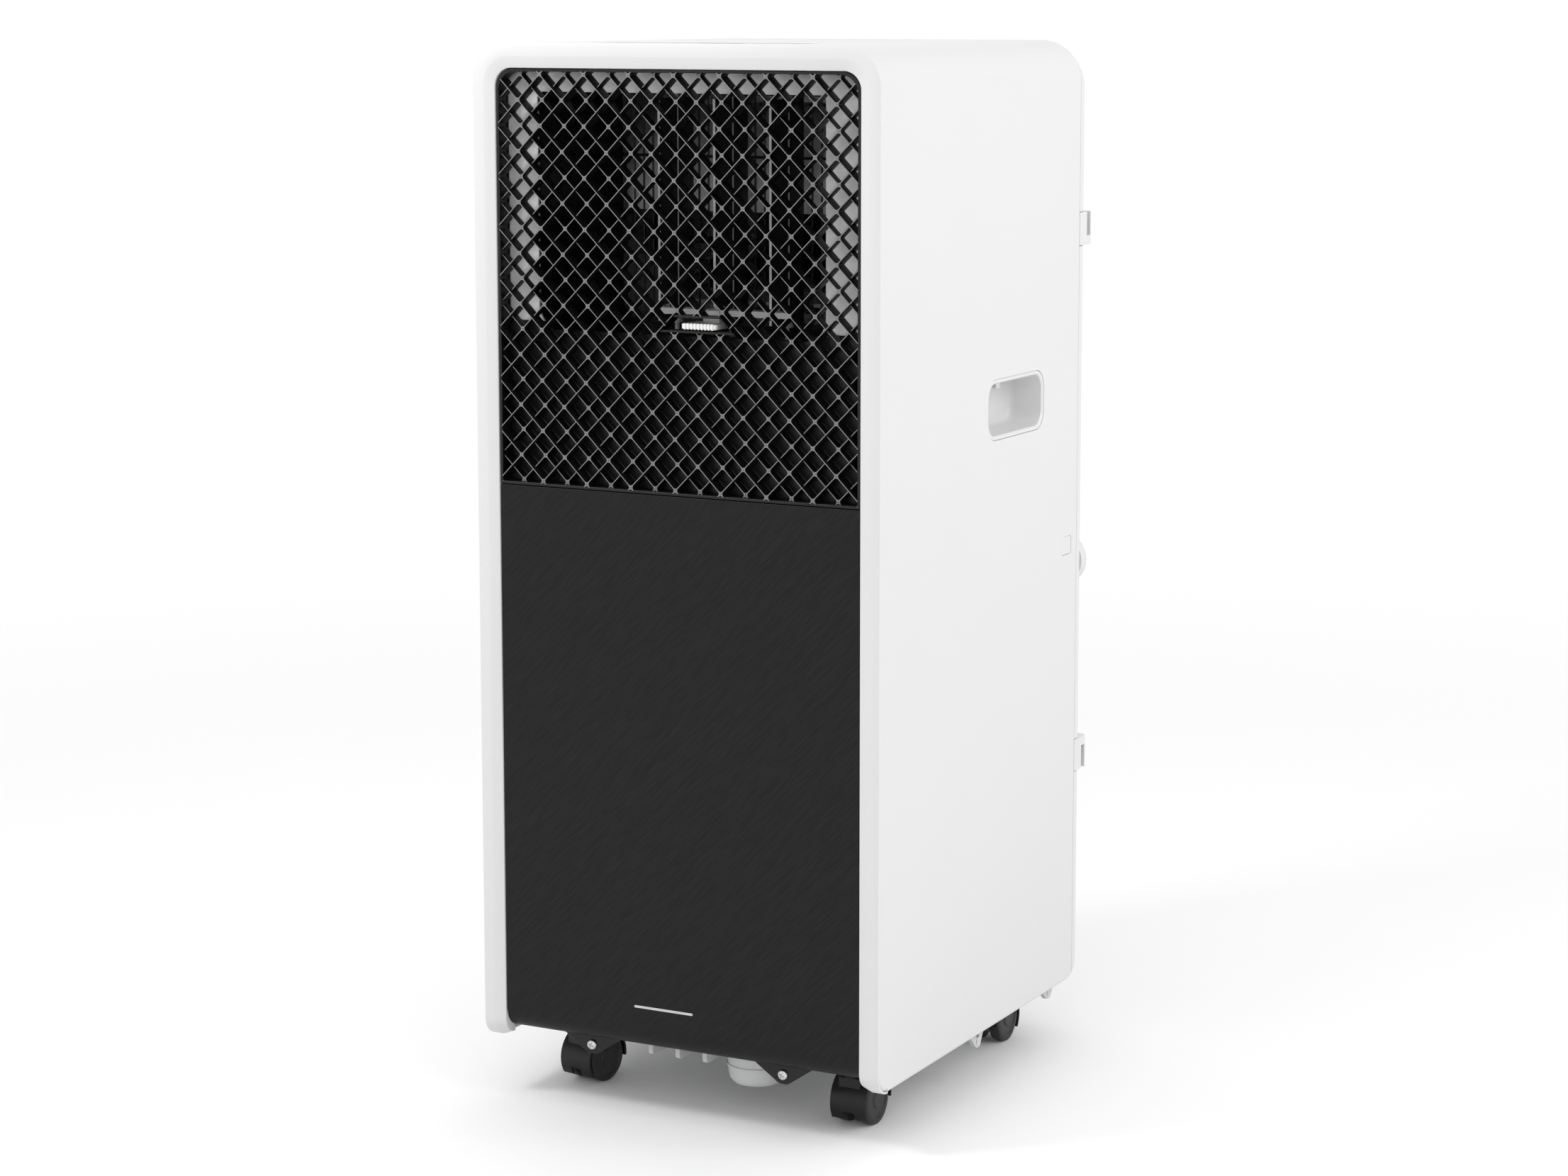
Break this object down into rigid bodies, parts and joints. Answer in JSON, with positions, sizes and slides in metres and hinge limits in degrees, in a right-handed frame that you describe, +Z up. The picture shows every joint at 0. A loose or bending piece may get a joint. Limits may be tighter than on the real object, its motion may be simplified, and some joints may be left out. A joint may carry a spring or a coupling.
{
  "type": "portable air conditioner",
  "caption": "Slim upright portable air conditioner: white casing, charcoal front, diagonal lattice over steerable vanes, side grips, rear filters, hose port and hooded casters.",
  "frame": {"origin": "on the floor, under the centre of the bounding box", "axes": "+Z up, front (lattice and charcoal panel) facing -Y, +X to the right of someone looking at the front"},
  "size_m": [0.295, 0.337, 0.705],
  "materials": {
    "white_casing": "satin white moulded plastic",
    "charcoal_panel": "satin charcoal with a fine cross-hatch grain",
    "black_plastic": "satin black moulded plastic",
    "grey_plastic": "light grey moulded plastic",
    "lever_white": "off-white moulded plastic",
    "gloss_black": "polished black",
    "button_grey": "satin grey",
    "screw_steel": "zinc-plated screw",
    "motor_steel": "plain steel can",
    "coil_fins": "thin fins",
    "compressor_enamel": "black enamel",
    "accumulator_copper": "copper",
    "black_rubber": "matt rubber",
    "wheel_rubber": "hard black wheel"
  },
  "bodies": {
    "casing": {"front_grille": "black_plastic", "rear_cover": "white_casing", "base_pan": "grey_plastic", "finger_guard": "black_plastic", "right_side_panel": "white_casing", "control_panel": "gloss_black", "front_bezel": "white_casing", "outlet_duct": "black_plastic", "blower_housing": "grey_plastic", "left_side_panel": "white_casing", "fan_shroud": "grey_plastic", "left_handle_cup": "white_casing", "right_handle_cup": "white_casing", "compressor": "compressor_enamel", "front_panel": "charcoal_panel", "outlet_surround": "grey_plastic", "exhaust_duct": "grey_plastic", "cord_gland": "black_rubber", "top_cover": "white_casing", "side_plug": "white_casing", "blower_motor": "motor_steel", "fan_motor": "motor_steel", "accumulator": "accumulator_copper", "evaporator": "coil_fins", "condenser": "coil_fins", "panel_screw_left": "screw_steel", "panel_screw_right": "screw_steel", "upper_cord_hook": "white_casing", "lower_cord_hook": "white_casing", "lower_backing": "black_plastic", "drip_tray": "grey_plastic", "display_window": "gloss_black", "electronics_box": "black_plastic"},
    "louvre_link": {"vane_link": "lever_white", "thumb_lever": "lever_white"},
    "vane_1": {"vane_1": "black_plastic"},
    "vane_2": {"vane_2": "black_plastic"},
    "vane_3": {"vane_3": "black_plastic"},
    "button_power": {"button_power": "button_grey"},
    "button_mode": {"button_mode": "button_grey"},
    "button_speed": {"button_speed": "button_grey"},
    "button_up": {"button_up": "button_grey"},
    "button_down": {"button_down": "button_grey"},
    "upper_filter": {"upper_filter": "white_casing"},
    "lower_filter": {"lower_filter": "white_casing"},
    "drain_cap": {"drain_cap": "white_casing"},
    "drain_plug": {"drain_plug": "black_rubber"},
    "blower_rotor": {"blower_wheel": "black_plastic"},
    "fan_rotor": {"condenser_fan": "black_plastic"},
    "caster_front_left": {"caster_hood_front_left": "black_plastic"},
    "wheels_front_left": {"caster_wheels_front_left": "wheel_rubber"},
    "caster_front_right": {"caster_hood_front_right": "black_plastic"},
    "wheels_front_right": {"caster_wheels_front_right": "wheel_rubber"},
    "caster_rear_left": {"caster_hood_rear_left": "black_plastic"},
    "wheels_rear_left": {"caster_wheels_rear_left": "wheel_rubber"},
    "caster_rear_right": {"caster_hood_rear_right": "black_plastic"},
    "wheels_rear_right": {"caster_wheels_rear_right": "wheel_rubber"}
  },
  "joints": [
    {"name": "lever_slide", "type": "slide", "parent": "casing", "child": "louvre_link", "axis": [1, 0, 0], "range_m": [-0.006, 0.006]},
    {"name": "vane_1_turn", "type": "hinge", "parent": "casing", "child": "vane_1", "pos_m": [-0.0255, -0.1165, 0.5965], "axis": [0, 0, 1], "range_deg": [-17.3, 17.3]},
    {"name": "vane_2_turn", "type": "hinge", "parent": "casing", "child": "vane_2", "pos_m": [0.015, -0.1165, 0.5965], "axis": [0, 0, 1], "range_deg": [-17.3, 17.3]},
    {"name": "vane_3_turn", "type": "hinge", "parent": "casing", "child": "vane_3", "pos_m": [0.0555, -0.1165, 0.5965], "axis": [0, 0, 1], "range_deg": [-17.3, 17.3]},
    {"name": "power_press", "type": "slide", "parent": "casing", "child": "button_power", "axis": [0, 0, -1], "range_m": [0, 0.0012], "stiffness_N_per_m": 300},
    {"name": "mode_press", "type": "slide", "parent": "casing", "child": "button_mode", "axis": [0, 0, -1], "range_m": [0, 0.0012], "stiffness_N_per_m": 300},
    {"name": "speed_press", "type": "slide", "parent": "casing", "child": "button_speed", "axis": [0, 0, -1], "range_m": [0, 0.0012], "stiffness_N_per_m": 300},
    {"name": "up_press", "type": "slide", "parent": "casing", "child": "button_up", "axis": [0, 0, -1], "range_m": [0, 0.0012], "stiffness_N_per_m": 300},
    {"name": "down_press", "type": "slide", "parent": "casing", "child": "button_down", "axis": [0, 0, -1], "range_m": [0, 0.0012], "stiffness_N_per_m": 300},
    {"name": "upper_filter_pull", "type": "slide", "parent": "casing", "child": "upper_filter", "axis": [0, 1, 0], "range_m": [0, 0.03]},
    {"name": "lower_filter_pull", "type": "slide", "parent": "casing", "child": "lower_filter", "axis": [0, 1, 0], "range_m": [0, 0.03]},
    {"name": "drain_cap_pull", "type": "slide", "parent": "casing", "child": "drain_cap", "axis": [0, 1, 0], "range_m": [0, 0.02]},
    {"name": "drain_plug_pull", "type": "slide", "parent": "casing", "child": "drain_plug", "axis": [0, 1, 0], "range_m": [0, 0.02]},
    {"name": "blower_spin", "type": "hinge", "parent": "casing", "child": "blower_rotor", "pos_m": [0, -0.0005, 0.594], "axis": [1, 0, 0], "continuous": true},
    {"name": "fan_spin", "type": "hinge", "parent": "casing", "child": "fan_rotor", "pos_m": [0.02, 0.0575, 0.318], "axis": [0, 1, 0], "continuous": true},
    {"name": "swivel_front_left", "type": "hinge", "parent": "casing", "child": "caster_front_left", "pos_m": [-0.103, -0.1115, 0.04], "axis": [0, 0, 1], "continuous": true},
    {"name": "roll_front_left", "type": "hinge", "parent": "caster_front_left", "child": "wheels_front_left", "pos_m": [-0.10161, -0.10362, 0.0164], "axis": [0.9848, -0.1736, 0], "continuous": true},
    {"name": "swivel_front_right", "type": "hinge", "parent": "casing", "child": "caster_front_right", "pos_m": [0.103, -0.1115, 0.04], "axis": [0, 0, 1], "continuous": true},
    {"name": "roll_front_right", "type": "hinge", "parent": "caster_front_right", "child": "wheels_front_right", "pos_m": [0.103, -0.1035, 0.0164], "axis": [1, 0, 0], "continuous": true},
    {"name": "swivel_rear_left", "type": "hinge", "parent": "casing", "child": "caster_rear_left", "pos_m": [-0.103, 0.1135, 0.04], "axis": [0, 0, 1], "continuous": true},
    {"name": "roll_rear_left", "type": "hinge", "parent": "caster_rear_left", "child": "wheels_rear_left", "pos_m": [-0.10466, 0.10568, 0.0164], "axis": [-0.9781, 0.2079, 0], "continuous": true},
    {"name": "swivel_rear_right", "type": "hinge", "parent": "casing", "child": "caster_rear_right", "pos_m": [0.103, 0.1135, 0.04], "axis": [0, 0, 1], "continuous": true},
    {"name": "roll_rear_right", "type": "hinge", "parent": "caster_rear_right", "child": "wheels_rear_right", "pos_m": [0.103, 0.1055, 0.0164], "axis": [-1, 0, 0], "continuous": true}
  ],
  "couplings": [
    {"joint": "vane_1_turn", "follows": "lever_slide", "rad_per_m": 50},
    {"joint": "vane_2_turn", "follows": "lever_slide", "rad_per_m": 50},
    {"joint": "vane_3_turn", "follows": "lever_slide", "rad_per_m": 50}
  ]
}
